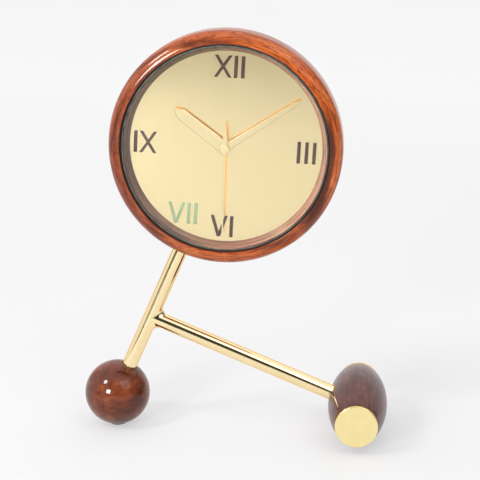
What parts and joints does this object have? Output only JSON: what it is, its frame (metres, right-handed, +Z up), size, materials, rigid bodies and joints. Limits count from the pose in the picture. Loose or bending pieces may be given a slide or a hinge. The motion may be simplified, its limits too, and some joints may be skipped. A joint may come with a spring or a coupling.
{
  "type": "table clock",
  "caption": "Round wooden table clock on a tee-shaped brass rod stand with a wooden ball foot and a wooden barrel foot.",
  "frame": {"origin": "on the table, at the middle of the bounding box", "axes": "+Z up, -Y out of the dial towards the viewer, +X to the viewer's right"},
  "size_m": [0.2704, 0.112, 0.355],
  "materials": {
    "ring_wood": "gloss lacquer, red-brown wood",
    "inner_wood": "satin, pale brown wood",
    "ball_wood": "gloss lacquer, brown wood",
    "barrel_wood": "gloss lacquer, purple-brown wood",
    "board_wood": "plain board",
    "dial_brass": "fine upright brushing, lacquered",
    "hand_brass": "polished",
    "brass": "polished",
    "dark_enamel": "dark brown enamel",
    "pale_enamel": "pale green enamel",
    "glass": "clear with a bevelled edge",
    "rubber": "matte",
    "felt": "matte felt",
    "steel": "bright",
    "copper": "enamelled wire",
    "battery": "printed sleeve, plain",
    "circuit": "bare board",
    "gear_plastic": "natural",
    "black_plastic": "moulded"
  },
  "bodies": {
    "stand": {"case_ring": "ring_wood", "bezel_ring": "inner_wood", "glass": "glass", "glass_gasket": "rubber", "dial_plate": "dial_brass", "dial_backing": "board_wood", "numeral_xii": "dark_enamel", "numeral_iii": "dark_enamel", "numeral_vi": "dark_enamel", "numeral_vii": "pale_enamel", "numeral_ix": "dark_enamel", "back_panel": "inner_wood", "back_screws": "brass", "main_rod": "brass", "branch_rod": "brass", "braze_fillet": "brass", "rod_studs": "steel", "wood_inserts": "brass", "ball_foot": "ball_wood", "ball_pad": "felt", "barrel_foot": "barrel_wood", "barrel_pad": "felt", "front_cap": "brass", "rear_cap": "brass", "movement_case": "black_plastic", "movement_cover": "black_plastic", "train_bridge": "steel", "threaded_bush": "brass", "bush_washer": "brass", "bush_nut": "brass", "rubber_washer": "rubber", "battery": "battery", "contact_positive": "steel", "contact_negative": "steel", "circuit_board": "circuit", "chip": "black_plastic", "quartz_crystal": "steel", "stator": "steel", "coil_core": "steel", "coil_winding": "copper"},
    "seconds": {"second_wheel": "gear_plastic", "second_hand": "hand_brass"},
    "rotor": {"rotor_magnet": "steel", "rotor_pinion": "gear_plastic"},
    "step": {"step_wheel": "gear_plastic"},
    "third": {"third_wheel": "gear_plastic"},
    "centre": {"centre_wheel": "gear_plastic"},
    "minutes": {"cannon_pinion": "brass", "minute_hand": "hand_brass"},
    "hours": {"hour_wheel": "gear_plastic", "hour_hand": "hand_brass"},
    "motion": {"motion_wheel": "gear_plastic"},
    "setting": {"setting_shaft": "gear_plastic", "setting_knob": "black_plastic"}
  },
  "joints": [
    {"name": "second_hand_turn", "type": "hinge", "parent": "stand", "child": "seconds", "pos_m": [-0.00749, 0, 0.255], "axis": [0, 1, 0], "continuous": true},
    {"name": "minute_hand_turn", "type": "hinge", "parent": "stand", "child": "minutes", "pos_m": [-0.00749, 0, 0.255], "axis": [0, 1, 0], "continuous": true},
    {"name": "rotor_turn", "type": "hinge", "parent": "stand", "child": "rotor", "pos_m": [-0.01905, 0, 0.26653], "axis": [0, 1, 0], "continuous": true},
    {"name": "step_wheel_turn", "type": "hinge", "parent": "stand", "child": "step", "pos_m": [-0.01169, 0, 0.26227], "axis": [0, 1, 0], "continuous": true},
    {"name": "third_wheel_turn", "type": "hinge", "parent": "stand", "child": "third", "pos_m": [-0.00209, 0, 0.26435], "axis": [0, 1, 0], "continuous": true},
    {"name": "centre_wheel_turn", "type": "hinge", "parent": "stand", "child": "centre", "pos_m": [-0.00749, 0, 0.255], "axis": [0, 1, 0], "continuous": true},
    {"name": "hour_hand_turn", "type": "hinge", "parent": "stand", "child": "hours", "pos_m": [-0.00749, 0, 0.255], "axis": [0, 1, 0], "continuous": true},
    {"name": "motion_wheel_turn", "type": "hinge", "parent": "stand", "child": "motion", "pos_m": [-0.01709, 0, 0.255], "axis": [0, 1, 0], "continuous": true},
    {"name": "setting_knob_turn", "type": "hinge", "parent": "stand", "child": "setting", "pos_m": [-0.02636, 0, 0.25251], "axis": [0, 1, 0], "continuous": true}
  ],
  "couplings": [
    {"joint": "step_wheel_turn", "follows": "second_hand_turn", "ratio": -4},
    {"joint": "rotor_turn", "follows": "second_hand_turn", "ratio": 30},
    {"joint": "third_wheel_turn", "follows": "second_hand_turn", "ratio": -0.13333},
    {"joint": "centre_wheel_turn", "follows": "second_hand_turn", "ratio": 0.016667},
    {"joint": "motion_wheel_turn", "follows": "minute_hand_turn", "ratio": -0.33333},
    {"joint": "hour_hand_turn", "follows": "minute_hand_turn", "ratio": 0.083333},
    {"joint": "setting_knob_turn", "follows": "minute_hand_turn", "ratio": 1}
  ]
}
